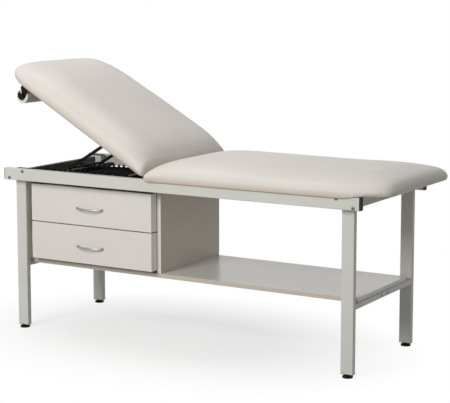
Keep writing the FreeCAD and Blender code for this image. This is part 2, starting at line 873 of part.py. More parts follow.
nodes = {
    "front_rail": make_rail(-1),
    "rear_rail": make_rail(1),
    "rail_end_caps": make_rail_caps(),
    "leg_top_caps": make_leg_caps(),
    "rail_bolts": make_bolts(),
    "rail_nuts": make_nuts(),
    "leveler_inserts": make_inserts(),
    "lower_bar_head": make_lower_bar(-1),
    "lower_bar_foot": make_lower_bar(1),
    "upper_bar_head": make_cross_bar(-1, rail_bottom, rail_bottom + head_bar_height),
    "upper_bar_foot": make_cross_bar(1, rail_bottom, rail_bottom + foot_bar_height),
    "lower_bar_screws": make_bar_screws(),
    "shelf": make_shelf(),
    "cabinet_panel_head": make_cabinet_panel(cabinet_head_inner, -1),
    "cabinet_panel_foot": make_cabinet_panel(cabinet_foot_inner, 1),
    "cabinet_back": make_cabinet_back(),
    "cabinet_top": make_cabinet_top(),
    "slide_spacers": make_spacers(),
    "slide_channels": make_channels(),
    "hinge_bar": make_hinge_bar(),
    "hinge_leaves_seat": group([hinge_leaf(side * hinge_y, 1, rail_top, 0) for side in side_signs]),
    "hinge_leaves_back": group([raised(hinge_leaf(side * hinge_y, -1, back_base, 1)) for side in side_signs]),
    "hinge_pins": make_hinge_pins(),
    "rack_bars": make_rack_bars(),
    "toothed_racks": make_racks(),
    "prop_struts": make_struts(),
    "prop_foot_rod": make_foot_rod(),
    "prop_pivot_ears": make_pivot_ears(),
    "prop_pivot_pins": make_pivot_pins(),
    "roll_rod": make_roll_rod(),
    "paper_core": raised(sleeve(core_radius, rod_radius + core_fit)),
    "paper_roll": raised(sleeve(roll_radius, core_radius)),
}

nodes["roll_hanger_front"] = make_hanger()
nodes["roll_hanger_rear"] = mirrored(nodes["roll_hanger_front"])

for side_name, side in (("front", -1), ("rear", 1)):
    for end_name, end in (("head", -1), ("foot", 1)):
        nodes["leg_" + side_name + "_" + end_name] = make_leg(side, end)
        nodes["leveler_" + side_name + "_" + end_name] = make_leveler(side, end)

for drawer_name, base in zip(("lower", "upper"), drawer_bases):
    prefix = "drawer_" + drawer_name + "_"
    nodes[prefix + "front"] = make_front(base)
    nodes[prefix + "sides"] = make_sides(base)
    nodes[prefix + "back"] = make_box_back(base)
    nodes[prefix + "bottom"] = make_box_bottom(base)
    nodes[prefix + "pull"] = make_pull(base)
    nodes[prefix + "runners"] = make_runners(base)

foot_corner = (foot_reach, foot_tuck, foot_tight)
head_corner = (head_reach, head_tuck, head_tight)
seat_deck = make_deck(seat_length, rail_top, foot_corner, 1)
back_deck = make_deck(back_length, back_base, head_corner, -1)
nodes["seat_deck"] = seat_deck
nodes["seat_pad"] = make_pad(seat_length, seat_pad_height, rail_top, foot_corner, 1).cut(seat_deck)
nodes["backrest_deck"] = raised(back_deck)
back_pad = make_pad(back_length, back_pad_height, back_base, head_corner, -1)
nodes["backrest_pad"] = raised(back_pad.cut(back_deck))

# The origin is the middle of the floor area that the whole table covers at rest.
bounds = Part.makeCompound(list(nodes.values())).optimalBoundingBox()
origin = V(bounds.Center.x, bounds.Center.y, bounds.ZMin)
for name, shape in nodes.items():
    placed = shape.copy()
    placed.translate(origin.negative())
    placed.exportStep("parts/" + name + ".step")

for label, point in (("origin", origin), ("hinge", V(hinge_x, 0, hinge_z).sub(origin)),
                     ("prop pivot", pivot.sub(origin)), ("prop foot", foot.sub(origin)),
                     ("roll axis", raised_point(V(roll_x, 0, roll_z)).sub(origin))):
    print(label, round(point.x, 3), round(point.y, 3), round(point.z, 3))
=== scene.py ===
import json
import logging
import math
from dataclasses import dataclass
from enum import Enum
from functools import cache
from typing import Optional, Union

import bmesh
import bpy
from mathutils import Matrix, Vector


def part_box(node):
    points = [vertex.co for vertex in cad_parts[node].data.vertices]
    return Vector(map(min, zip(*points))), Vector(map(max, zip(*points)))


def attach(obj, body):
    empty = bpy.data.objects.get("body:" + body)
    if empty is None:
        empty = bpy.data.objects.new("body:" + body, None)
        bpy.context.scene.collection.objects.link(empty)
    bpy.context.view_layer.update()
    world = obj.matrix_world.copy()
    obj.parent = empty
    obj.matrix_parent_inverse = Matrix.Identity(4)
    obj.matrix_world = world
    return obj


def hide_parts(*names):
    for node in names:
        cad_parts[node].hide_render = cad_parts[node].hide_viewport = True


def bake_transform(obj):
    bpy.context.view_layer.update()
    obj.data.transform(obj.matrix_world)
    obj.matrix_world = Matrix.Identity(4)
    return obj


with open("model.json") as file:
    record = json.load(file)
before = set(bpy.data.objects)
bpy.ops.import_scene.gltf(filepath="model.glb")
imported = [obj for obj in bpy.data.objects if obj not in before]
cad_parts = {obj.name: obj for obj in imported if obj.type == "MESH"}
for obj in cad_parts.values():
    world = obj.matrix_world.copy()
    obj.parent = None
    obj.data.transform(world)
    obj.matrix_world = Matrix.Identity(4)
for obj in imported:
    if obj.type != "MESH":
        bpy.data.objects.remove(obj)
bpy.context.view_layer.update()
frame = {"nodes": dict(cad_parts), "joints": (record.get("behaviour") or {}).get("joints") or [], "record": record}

log = logging.getLogger("treatment_table")

Colour = tuple[float, float, float]
Scale = tuple[float, float, float]
Number = Union[int, float]

# Lengths are in metres and angles in radians, apart from the camera's, which are in degrees.
FULL_TURN = 2 * math.pi
MERGE_DISTANCE = 0.00001
FACING = 0.5
NOISE_SPAN = (0.3, 0.7)
FINE_NOISE_SPAN = (0.35, 0.65)
WAVE_SPAN = (-1.0, 1.0)
WHITE: Colour = (1.0, 1.0, 1.0)
PHOTO_WIDTH_PIXELS = 450
CAMERA_DROP_PIXELS = 40
# Name of the mark for the warm shade painted along the cushions' lower edges.
LOWER_EDGE_SHADE = "lower_edge_shade"
EVEN_SMOOTHING = {"factor": 0.5, "use_axis_x": True, "use_axis_y": True, "use_axis_z": True}

# The display's scale is straight up to the end of its toe and a power curve above it.
DISPLAY_WHITE = 255
TOE_END = 0.04045
TOE_SLOPE = 12.92
CURVE_OFFSET = 0.055
CURVE_POWER = 2.4

# A Mix node's colour sockets go by number, because its other data types use the same names.
MIX_SHARE = 0
MIX_FIRST = 6
MIX_SECOND = 7
MIX_RESULT = 2


class Axis(Enum):
    """The table's axes, by their place in a vector."""

    LENGTH = 0
    DEPTH = 1
    HEIGHT = 2


class Drive(Enum):
    """Recess in the head of a fastener, by the number of its sides or arms."""

    HEXAGON = 6
    CROSS = 4


def linear(red: int, green: int, blue: int) -> Colour:
    """A colour from the 0 to 255 display scale as linear light.

    Args:
        red: red level.
        green: green level.
        blue: blue level.

    Returns:
        The three linear levels, from 0 to 1.
    """
    levels = []
    for level in (red, green, blue):
        share = level / DISPLAY_WHITE
        curve = ((share + CURVE_OFFSET) / (1 + CURVE_OFFSET)) ** CURVE_POWER
        levels.append(share / TOE_SLOPE if share <= TOE_END else curve)
    return levels[0], levels[1], levels[2]


def shade(colour: Colour, factor: float) -> Colour:
    """A colour made lighter or darker by a factor."""
    return colour[0] * factor, colour[1] * factor, colour[2] * factor


def smooth_step(value: float, low: float, high: float) -> float:
    """An even rise from 0 at low to 1 at high.

    Args:
        value: where the rise is read.
        low: value at which it starts.
        high: value at which it ends.

    Returns:
        The height of the rise, from 0 to 1.
    """
    share = min(1.0, max(0.0, (value - low) / (high - low)))
    return share * share * (3 - 2 * share)


def slack(distance: float, reach: float) -> float:
    """1 at an edge, falling to 0 at a distance from it."""
    return (1 - min(1.0, max(0.0, distance / reach))) ** 2


class Signal:
    """A shader value that takes part in plain arithmetic."""

    def __init__(self, graph: "Graph", socket: bpy.types.NodeSocket) -> None:
        """Keeps the graph that the value belongs to and the socket that gives it."""
        self.graph = graph
        self.socket = socket

    def maths(self, operation: str, first: "Operand", second: "Operand") -> "Signal":
        """One Math node.

        Args:
            operation: the node's operation.
            first: its first operand.
            second: its second operand.

        Returns:
            The node's result.
        """
        node = self.graph.add("ShaderNodeMath", {"operation": operation}, {0: first, 1: second})
        return Signal(self.graph, node.outputs[0])

    def __add__(self, other: "Operand") -> "Signal":
        """This value plus another."""
        return self.maths("ADD", self, other)

    def __radd__(self, other: "Operand") -> "Signal":
        """Another value plus this one."""
        return self.maths("ADD", other, self)

    def __sub__(self, other: "Operand") -> "Signal":
        """This value less another."""
        return self.maths("SUBTRACT", self, other)

    def __rsub__(self, other: "Operand") -> "Signal":
        """Another value less this one."""
        return self.maths("SUBTRACT", other, self)

    def __mul__(self, other: "Operand") -> "Signal":
        """This value times another."""
        return self.maths("MULTIPLY", self, other)

    def __rmul__(self, other: "Operand") -> "Signal":
        """Another value times this one."""
        return self.maths("MULTIPLY", other, self)

    def __pow__(self, other: "Operand") -> "Signal":
        """This value to a power."""
        return self.maths("POWER", self, other)

    def __rpow__(self, other: "Operand") -> "Signal":
        """Another value to the power of this one."""
        return self.maths("POWER", other, self)

    def __abs__(self) -> "Signal":
        """This value without its sign."""
        return self.maths("ABSOLUTE", self, 0.0)

    def largest(self, other: "Operand") -> "Signal":
        """The larger of this value and another."""
        return self.maths("MAXIMUM", self, other)

    def wave(self) -> "Signal":
        """The sine of this value."""
        return self.maths("SINE", self, 0.0)

    def ramp(self, low: float, high: float, from_low: float = 0.0, from_high: float = 1.0) -> "Signal":
        """This value moved from one span to another and held inside it.

        Args:
            low: result at from_low.
            high: result at from_high.
            from_low: start of the span that is read.
            from_high: end of the span that is read.

        Returns:
            The moved value.
        """
        node = self.graph.add(
            "ShaderNodeMapRange",
            {"clamp": True},
            {"Value": self, "From Min": from_low, "From Max": from_high, "To Min": low, "To Max": high},
        )
        return Signal(self.graph, node.outputs["Result"])

    def around(self, middle: float, drift: float) -> "Signal":
        """Noise turned into a value that drifts about a middle one."""
        return self.ramp(middle - drift, middle + drift, *NOISE_SPAN)


Operand = Union[Signal, Number]
Feed = Union[Signal, bpy.types.NodeSocket, Number, tuple]


class Graph:
    """The node tree of one material or of the world, and the ways to add to it."""

    def __init__(self, tree: bpy.types.NodeTree) -> None:
        """Starts from an emptied tree.

        Args:
            tree: the tree, which is emptied.
        """
        self.tree = tree
        self.tree.nodes.clear()
        self._place: Optional[bpy.types.Node] = None

    def add(
        self, kind: str, settings: Optional[dict] = None, sockets: Optional[dict] = None
    ) -> bpy.types.Node:
        """One node with its settings and the values or links of its sockets.

        Args:
            kind: the node's type.
            settings: attributes, which are set first.
            sockets: a value or a link for each input, by name or index.

        Returns:
            The new node.
        """
        node = self.tree.nodes.new(kind)
        for name, value in (settings or {}).items():
            setattr(node, name, value)
        for name, value in (sockets or {}).items():
            self.feed(node.inputs[name], value)
        return node

    def feed(self, target: bpy.types.NodeSocket, value: Feed) -> None:
        """Links a signal to an input, or sets the input to a plain value.

        Args:
            target: the input.
            value: a signal, a socket, a number or a colour.
        """
        if isinstance(value, Signal):
            self.tree.links.new(value.socket, target)
        elif isinstance(value, bpy.types.NodeSocket):
            self.tree.links.new(value, target)
        elif target.type == "RGBA" and len(value) == 3:
            target.default_value = (*value, 1.0)
        else:
            target.default_value = value

    def place(self, output: str = "Object") -> bpy.types.NodeSocket:
        """A texture coordinate, by default the place in metres in the table's frame.

        Args:
            output: which of the coordinates.

        Returns:
            The coordinate's socket.
        """
        if self._place is None:
            self._place = self.add("ShaderNodeTexCoord")
        return self._place.outputs[output]

    def axes(self, output: str = "Object") -> tuple[Signal, Signal, Signal]:
        """A texture coordinate as three signals."""
        node = self.add("ShaderNodeSeparateXYZ", {}, {"Vector": self.place(output)})
        return tuple(Signal(self, socket) for socket in node.outputs)

    def noise(
        self, per_metre: float, detail: float, where: Optional[bpy.types.NodeSocket] = None
    ) -> Signal:
        """Soft noise.

        Args:
            per_metre: how many blotches there are to a metre.
            detail: octaves of finer noise.
            where: coordinates, if not the plain object ones.

        Returns:
            Noise about 0.5.
        """
        place = where or self.place()
        node = self.add("ShaderNodeTexNoise", {}, {"Vector": place, "Scale": per_metre, "Detail": detail})
        return Signal(self, node.outputs["Fac"])

    def streaks(self, per_metre: Scale, detail: float) -> Signal:
        """Soft noise with a scale of its own on each axis."""
        node = self.add("ShaderNodeMapping", {}, {"Vector": self.place(), "Scale": per_metre})
        return self.noise(1.0, detail, node.outputs["Vector"])

    def cells(self, per_metre: float) -> Signal:
        """Smooth distance to the nearest of scattered points.

        Args:
            per_metre: how many cells there are to a metre.

        Returns:
            The distance, in cells.
        """
        node = self.add(
            "ShaderNodeTexVoronoi", {"feature": "SMOOTH_F1"}, {"Vector": self.place(), "Scale": per_metre}
        )
        return Signal(self, node.outputs["Distance"])

    def painted(self, attribute: str) -> Signal:
        """A value that the mesh itself carries, by its name."""
        node = self.add("ShaderNodeAttribute", {"attribute_name": attribute})
        return Signal(self, node.outputs["Fac"])

    def blend(self, share: Signal, first: Feed, second: Feed) -> bpy.types.NodeSocket:
        """Two colours mixed by a share.

        Args:
            share: 0 for the first colour, 1 for the second.
            first: a colour or a link.
            second: a colour or a link.

        Returns:
            The mixed colour.
        """
        sockets = {MIX_SHARE: share, MIX_FIRST: first, MIX_SECOND: second}
        node = self.add("ShaderNodeMix", {"data_type": "RGBA"}, sockets)
        return node.outputs[MIX_RESULT]

    def toned(self, share: Signal, colour: Colour, low: float, high: float) -> bpy.types.NodeSocket:
        """A colour between two of its own tones, given as factors, by a share."""
        return self.blend(share, shade(colour, low), shade(colour, high))

    def relief(self, height: Signal, depth: float, strength: float) -> bpy.types.NodeSocket:
        """A bumped normal.

        Args:
            height: the relief, from 0 to 1.
            depth: how deep the relief is, in metres.
            strength: how much of it shows.

        Returns:
            The normal.
        """
        node = self.add("ShaderNodeBump", {}, {"Strength": strength, "Distance": depth, "Height": height})
        return node.outputs["Normal"]


class Finish:
    """What all surface finishes share: a named material around one Principled shader."""

    name: str

    def sockets(self, graph: Graph) -> dict:
        """Values and links of the Principled shader.

        Args:
            graph: the material's graph.

        Returns:
            Inputs by name.
        """
        raise NotImplementedError

    @cache
    def material(self) -> bpy.types.Material:
        """The material, made the first time that it is asked for.

        Returns:
            The material.
        """
        made = bpy.data.materials.new(self.name)
        made.use_nodes = True
        graph = Graph(made.node_tree)
        shader = graph.add("ShaderNodeBsdfPrincipled", {}, self.sockets(graph))
        graph.add("ShaderNodeOutputMaterial", {}, {"Surface": shader.outputs["BSDF"]})
        return made


@dataclass(frozen=True)
class PowderCoat(Finish):
    """Baked paint on steel, with fine orange peel."""

    name: str
    colour: Colour
    roughness: float = 0.42
    specular: float = 0.5
    gloss_drift: float = 0.05
    dull: float = 0.96
    bright: float = 1.03
    clouds_per_metre: float = 5.0
    flecks_per_metre: float = 1500.0
    fleck_share: float = 0.3
    peel_per_metre: float = 420.0
    peel_depth: float = 0.00012
    peel_strength: float = 0.5

    def sockets(self, graph: Graph) -> dict:
        """Slightly uneven colour and gloss over orange peel.

        Args:
            graph: the material's graph.

        Returns:
            Inputs by name.
        """
        cloud = graph.noise(self.clouds_per_metre, detail=3.0)
        fleck = graph.noise(self.flecks_per_metre, detail=1.0)
        peel = graph.noise(self.peel_per_metre, detail=2.0)
        spots = fleck.ramp(0.0, self.fleck_share, *FINE_NOISE_SPAN)
        tone = cloud.ramp(0.0, 1 - self.fleck_share, *NOISE_SPAN) + spots
        return {
            "Base Color": graph.toned(tone, self.colour, self.dull, self.bright),
            "Roughness": cloud.around(self.roughness, self.gloss_drift),
            "Normal": graph.relief(peel, self.peel_depth, self.peel_strength),
            "Specular IOR Level": self.specular,
        }


@dataclass(frozen=True)
class Vinyl(Finish):
    """Smooth coated upholstery cloth with a pebbled grain."""

    name: str
    colour: Colour
    lower_edge_shade_colour: Colour
    lower_edge_shade_share: float = 0.7
    pebble_roughness: float = 0.43
    valley_roughness: float = 0.56
    specular: float = 0.35
    dull: float = 0.95
    bright: float = 1.04
    drifts_per_metre: float = 4.0
    drift_low: float = 0.25
    drift_high: float = 0.75
    pebbles_per_metre: float = 620.0
    valley_span: tuple[float, float] = (0.15, 0.75)
    valley_shade: float = 0.22
    pores_per_metre: float = 2600.0
    pore_share: float = 0.15
    grain_depth: float = 0.00014
    grain_strength: float = 0.45

    def sockets(self, graph: Graph) -> dict:
        """Pebbles with darker valleys, over slow drifts of tone, and warm painted shade along the lower edge.

        Args:
            graph: the material's graph.

        Returns:
            Inputs by name.
        """
        drift = graph.noise(self.drifts_per_metre, detail=2.0)
        valley = graph.cells(self.pebbles_per_metre).ramp(0.0, 1.0, *self.valley_span)
        pore = graph.noise(self.pores_per_metre, detail=1.0)
        tone = drift.ramp(self.drift_low, self.drift_high, *NOISE_SPAN) - valley * self.valley_shade
        height = 1.0 - valley * (1 - self.pore_share) + pore * self.pore_share
        grained = graph.toned(tone, self.colour, self.dull, self.bright)
        return {
            # Painted shade: towards the lower edge the grain is mixed with a warmer, darker tan for the shade and
            # warm bounce light there.
            "Base Color": graph.blend(graph.painted(LOWER_EDGE_SHADE) * self.lower_edge_shade_share, grained, self.lower_edge_shade_colour),
            "Roughness": valley.ramp(self.pebble_roughness, self.valley_roughness),
            "Normal": graph.relief(height, self.grain_depth, self.grain_strength),
            "Specular IOR Level": self.specular,
        }


@dataclass(frozen=True)
class Laminate(Finish):
    """Decor board with a faintly mottled, lightly textured face."""

    name: str
    colour: Colour
    roughness: float = 0.45
    specular: float = 0.5
    gloss_drift: float = 0.06
    dull: float = 0.97
    bright: float = 1.025
    clouds_per_metre: float = 9.0
    fibres_per_metre: Scale = (60.0, 60.0, 900.0)
    fibre_share: float = 0.4
    texture_per_metre: float = 900.0
    texture_depth: float = 0.00008
    texture_strength: float = 0.5

    def sockets(self, graph: Graph) -> dict:
        """Faint cloudy print and a fine press texture.

        Args:
            graph: the material's graph.

        Returns:
            Inputs by name.
        """
        cloud = graph.noise(self.clouds_per_metre, detail=4.0)
        fibre = graph.streaks(self.fibres_per_metre, detail=3.0)
        press = graph.noise(self.texture_per_metre, detail=2.0)
        lines = fibre.ramp(0.0, self.fibre_share, *FINE_NOISE_SPAN)
        tone = cloud.ramp(0.0, 1 - self.fibre_share, *NOISE_SPAN) + lines
        return {
            "Base Color": graph.toned(tone, self.colour, self.dull, self.bright),
            "Roughness": press.around(self.roughness, self.gloss_drift),
            "Normal": graph.relief(press, self.texture_depth, self.texture_strength),
            "Specular IOR Level": self.specular,
        }


@dataclass(frozen=True)
class EdgedLaminate(Laminate):
    """Decor board with another colour on the faces that look along one axis: edge bands, and painted light on the
    drawer fronts' ends.
    """

    edge_axis: Axis = Axis.DEPTH
    edge_colour: Colour = WHITE
    edge_span: tuple[float, float] = (0.4, 0.8)

    def sockets(self, graph: Graph) -> dict:
        """The board's own finish, with its edge bands and painted light by the way that a face looks.

        Args:
            graph: the material's graph.

        Returns:
            Inputs by name.
        """
        values = super().sockets(graph)
        edge_band_and_painted_light = abs(graph.axes("Normal")[self.edge_axis.value]).ramp(0.0, 1.0, *self.edge_span)
        values["Base Color"] = graph.blend(edge_band_and_painted_light, values["Base Color"], self.edge_colour)
        return values


@dataclass(frozen=True)
class Plating(Finish):
    """Bare or plated metal with fine drawn lines."""

    name: str
    colour: Colour
    roughness: float
    smoothest_share: float = 0.75
    roughest_share: float = 1.3
    dull: float = 0.92
    clouds_per_metre: float = 30.0
    lines_per_metre: Scale = (900.0, 900.0, 900.0)
    line_share: float = 0.5
    line_depth: float = 0.00003
    line_strength: float = 0.3

    def sockets(self, graph: Graph) -> dict:
        """Metal whose gloss and tone vary along fine lines.

        Args:
            graph: the material's graph.

        Returns:
            Inputs by name.
        """
        line = graph.streaks(self.lines_per_metre, detail=2.0)
        cloud = graph.noise(self.clouds_per_metre, detail=3.0)
        wear = line * self.line_share + cloud * (1 - self.line_share)
        smoothest = self.roughness * self.smoothest_share
        roughest = self.roughness * self.roughest_share
        return {
            "Base Color": graph.toned(cloud.ramp(0.0, 1.0, *NOISE_SPAN), self.colour, self.dull, 1.0),
            "Metallic": 1.0,
            "Roughness": wear.ramp(smoothest, roughest, *NOISE_SPAN),
            "Normal": graph.relief(line, self.line_depth, self.line_strength),
        }


@dataclass(frozen=True)
class MouldedPlastic(Finish):
    """Injection-moulded plastic with a spark-eroded grain."""

    name: str
    colour: Colour
    clean_roughness: float = 0.42
    dusty_roughness: float = 0.56
    specular: float = 0.12
    dusty: float = 1.7
    dust_per_metre: float = 40.0
    dust_span: tuple[float, float] = (0.45, 0.8)
    grain_per_metre: float = 1800.0
    grain_depth: float = 0.00006
    grain_strength: float = 0.5

    def sockets(self, graph: Graph) -> dict:
        """Even colour with a fine grain and a little dust.

        Args:
            graph: the material's graph.

        Returns:
            Inputs by name.
        """
        grain = graph.noise(self.grain_per_metre, detail=2.0)
        dust = graph.noise(self.dust_per_metre, detail=4.0)
        film = dust.ramp(0.0, 1.0, *self.dust_span)
        return {
            "Base Color": graph.toned(film, self.colour, 1.0, self.dusty),
            "Roughness": dust.ramp(self.clean_roughness, self.dusty_roughness, *NOISE_SPAN),
            "Normal": graph.relief(grain, self.grain_depth, self.grain_strength),
            "Specular IOR Level": self.specular,
        }


@dataclass(frozen=True)
class Plywood(Finish):
    """Birch plywood, with the plies across Z and the grain along X."""

    name: str
    light: Colour
    dark: Colour
    smoothest: float = 0.55
    roughest: float = 0.75
    ply: float = 0.0015
    ply_share: float = 0.35
    ply_span: tuple[float, float] = (-0.2, 1.0)
    streaks_per_metre: Scale = (6.0, 160.0, 160.0)
    streak_depth: float = 0.0002
    streak_strength: float = 0.4

    def sockets(self, graph: Graph) -> dict:
        """Long grain streaks with ply lines by height.

        Args:
            graph: the material's graph.

        Returns:
            Inputs by name.
        """
        streak = graph.streaks(self.streaks_per_metre, detail=4.0)
        height = graph.axes()[Axis.HEIGHT.value]
        plies = (height * (math.pi / self.ply)).wave().ramp(0.0, self.ply_share, *self.ply_span)
        tone = streak.ramp(0.0, 1 - self.ply_share, *NOISE_SPAN) + plies
        return {
            "Base Color": graph.blend(tone, self.light, self.dark),
            "Roughness": streak.ramp(self.smoothest, self.roughest, *NOISE_SPAN),
            "Normal": graph.relief(streak, self.streak_depth, self.streak_strength),
        }


@dataclass(frozen=True)
class WoundPaper(Finish):
    """Soft paper wound about an axis along Y."""

    name: str
    colour: Colour
    axis_x: float
    axis_z: float
    smoothest: float = 0.78
    roughest: float = 0.92
    dull: float = 0.90
    turns_per_metre: float = 1400.0
    ring_share: float = 0.5
    crepe_per_metre: Scale = (700.0, 90.0, 700.0)
    relief_depth: float = 0.0002
    relief_strength: float = 0.4

    def sockets(self, graph: Graph) -> dict:
        """Rings about the axis and a crepe texture along the width.

        Args:
            graph: the material's graph.

        Returns:
            Inputs by name.
        """
        x, _, z = graph.axes()
        across = x - self.axis_x
        above = z - self.axis_z
        radius = (across * across + above * above) ** 0.5
        turn = (radius * (FULL_TURN * self.turns_per_metre)).wave()
        ring = turn.ramp(0.0, self.ring_share, *WAVE_SPAN)
        crepe = graph.streaks(self.crepe_per_metre, detail=3.0)
        crepe_share = 1 - self.ring_share
        tone = ring + crepe.ramp(0.0, crepe_share, *NOISE_SPAN)
        return {
            "Base Color": graph.toned(tone, self.colour, self.dull, 1.0),
            "Roughness": crepe.ramp(self.smoothest, self.roughest, *NOISE_SPAN),
            "Normal": graph.relief(ring + crepe * crepe_share, self.relief_depth, self.relief_strength),
        }


SILVER = PowderCoat("silver_paint", linear(207, 206, 198))
# Painted shade: the head end's upper bar is the same frame steel as the foot end's, coloured the dark grey that it
# shows in the shade under the raised backrest.
SHADOW_GREY = PowderCoat("painted_shade_grey", linear(66, 65, 64), roughness=0.5)
BLACK_PAINT = PowderCoat("black_satin_paint", linear(11, 11, 11), roughness=0.55, specular=0.12)
# Painted light: the faces of the drawer fronts that look along X, chiefly the foot end's return, are made lighter
# for the light that falls on them.
FRONT_BOARD = EdgedLaminate(
    "drawer_front_board", linear(220, 215, 208), edge_axis=Axis.LENGTH, edge_colour=linear(250, 248, 240)
)
SHELF_BOARD = EdgedLaminate(
    "shelf_board", linear(212, 210, 206), roughness=0.27, edge_colour=linear(196, 184, 170)
)
CARCASS_BOARD = EdgedLaminate("carcass_board", linear(211, 205, 195), edge_colour=linear(226, 222, 213))
BOX_BOARD = Laminate("drawer_box_board", linear(222, 218, 210))
# Partly painted shade: the cabinet's top is a dark board, made near black to stand in also for the deep shade
# under the raised backrest.
DARK_BOARD_AND_SHADE = Laminate("dark_board_and_painted_shade", linear(12, 12, 12), roughness=0.8, specular=0.02)
# Painted shade: the cushions' lower-edge colour is a warmer, darker tan for the shade and warm bounce light along
# their lower edges.
UPHOLSTERY = Vinyl("upholstery_vinyl", linear(212, 206, 199), lower_edge_shade_colour=linear(198, 172, 145))
BIRCH = Plywood("birch_plywood", light=linear(205, 178, 140), dark=linear(170, 138, 98))
CHROME = Plating("pull_chrome", linear(160, 159, 156), roughness=0.3)
ZINC = Plating("zinc_plating", linear(168, 168, 168), roughness=0.34)
BOLT_STEEL = Plating("bolt_steel", linear(112, 110, 105), roughness=0.3)
BLACK_PLASTIC = MouldedPlastic("grained_black_plastic", linear(14, 14, 14))
PAPER_WHITE = linear(240, 238, 232)
CARD_BROWN = linear(176, 146, 108)

NODE_FINISHES: dict[Finish, tuple[str, ...]] = {
    SILVER: (
        "front_rail", "rear_rail", "leg_front_head", "leg_front_foot", "leg_rear_head", "leg_rear_foot",
        "lower_bar_head", "lower_bar_foot", "upper_bar_foot", "hinge_bar",
    ),
    SHADOW_GREY: ("upper_bar_head",),
    BLACK_PAINT: (
        "toothed_racks", "prop_struts", "prop_foot_rod", "prop_pivot_ears", "rack_bars",
        "roll_hanger_front", "roll_hanger_rear",
    ),
    BIRCH: ("seat_deck", "backrest_deck"),
    CHROME: ("drawer_lower_pull", "drawer_upper_pull"),
    ZINC: (
        "rail_nuts", "slide_channels", "hinge_leaves_seat", "hinge_leaves_back", "hinge_pins",
        "prop_pivot_pins", "drawer_lower_runners", "drawer_upper_runners",
    ),
    BLACK_PLASTIC: (
        "rail_end_caps", "leg_top_caps", "leveler_inserts", "leveler_front_head", "leveler_front_foot",
        "leveler_rear_head", "leveler_rear_foot", "roll_rod",
    ),
}

BOARD_FINISHES: dict[Finish, tuple[str, ...]] = {
    SHELF_BOARD: ("shelf",),
    CARCASS_BOARD: ("cabinet_panel_head", "cabinet_panel_foot", "cabinet_back"),
    DARK_BOARD_AND_SHADE: ("cabinet_top",),
    BOX_BOARD: (
        "slide_spacers", "drawer_lower_sides", "drawer_lower_back", "drawer_lower_bottom",
        "drawer_upper_sides", "drawer_upper_back", "drawer_upper_bottom",
    ),
}


def put_on(piece: bpy.types.Object, finish: Finish) -> None:
    """Gives a piece or a CAD node one finish.

    Args:
        piece: the object.
        finish: what it is coated with or made of.
    """
    if not piece.material_slots:
        piece.data.materials.append(finish.material())
    for slot in piece.material_slots:
        slot.material = finish.material()


def new_piece(name: str, bm: bmesh.types.BMesh) -> bpy.types.Object:
    """A linked object at the origin around a finished bmesh, which is freed.

    Args:
        name: the piece's name.
        bm: its shape, shaded flat.

    Returns:
        The object.
    """
    for face in bm.faces:
        face.smooth = False
    mesh = bpy.data.meshes.new(name)
    bm.to_mesh(mesh)
    bm.free()
    piece = bpy.data.objects.new(name, mesh)
    bpy.context.scene.collection.objects.link(piece)
    return piece


def evaluated_mesh(piece: bpy.types.Object) -> bpy.types.Mesh:
    """A free mesh of a piece with its modifiers applied."""
    graph = bpy.context.evaluated_depsgraph_get()
    return bpy.data.meshes.new_from_object(piece.evaluated_get(graph))


def joint(name: str) -> dict:
    """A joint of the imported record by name."""
    return next(item for item in frame["joints"] if item["name"] == name)


def body_of(node: str) -> str:
    """The body that carries a CAD node."""
    bodies = frame["record"]["behaviour"]["bodies"]
    return next(name for name, nodes in bodies.items() if node in nodes)


def stand_in(piece: bpy.types.Object, node: str, finish: Finish) -> None:
    """Puts a finished piece in the place of a CAD node, which is hidden, and gives the piece its finish.

    Args:
        piece: the piece.
        node: the node that it stands for.
        finish: what the piece is coated with or made of.
    """
    put_on(piece, finish)
    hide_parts(node)
    row = next(item for item in frame["record"]["subparts"] if item["node"] == node)


def tidied(bm: bmesh.types.BMesh) -> None:
    """Merges doubled points and turns all faces outwards."""
    bmesh.ops.remove_doubles(bm, verts=bm.verts, dist=MERGE_DISTANCE)
    bmesh.ops.recalc_face_normals(bm, faces=bm.faces)


def merged_copy(node: str) -> bmesh.types.BMesh:
    """A copy of a CAD node's triangles, joined along their edges.

    Args:
        node: the node.

    Returns:
        The copy.
    """
    bm = bmesh.new()
    bm.from_mesh(frame["nodes"][node].data)
    tidied(bm)
    return bm


def solid_boxes(node: str) -> list[tuple[Vector, Vector]]:
    """The box of each separate solid of a CAD node.

    Args:
        node: the node.

    Returns:
        Lowest and highest corner of each, in the order of the lowest corners.
    """
    bm = merged_copy(node)
    waiting = set(bm.verts)
    boxes = []
    while waiting:
        edge = [waiting.pop()]
        island = []
        while edge:
            vertex = edge.pop()
            island.append(vertex.co)
            near = {link.other_vert(vertex) for link in vertex.link_edges} & waiting
            waiting -= near
            edge.extend(near)
        low = Vector(min(point[axis.value] for point in island) for axis in Axis)
        high = Vector(max(point[axis.value] for point in island) for axis in Axis)
        boxes.append((low, high))
    bm.free()
    return sorted(boxes, key=lambda pair: tuple(pair[0]))


def add_block(bm: bmesh.types.BMesh, low: Vector, high: Vector) -> None:
    """Adds a block to a shape.

    Args:
        bm: the shape.
        low: the block's lowest corner.
        high: its highest corner.
    """
    block = bmesh.ops.create_cube(bm, size=1.0)["verts"]
    size = Matrix.Diagonal((*(high - low), 1.0))
    bmesh.ops.transform(bm, matrix=Matrix.Translation((low + high) / 2) @ size, verts=block)


def ease_edges(bm: bmesh.types.BMesh, edges: list[bmesh.types.BMEdge], width: float) -> None:
    """Rounds the given edges of a shape over a small width."""
    bmesh.ops.bevel(bm, geom=edges, offset=width, affect="EDGES", segments=2, profile=0.5, material=-1)


def only(kind: type, items: list) -> list:
    """Those of mixed mesh elements that are of one kind."""
    return [item for item in items if isinstance(item, kind)]


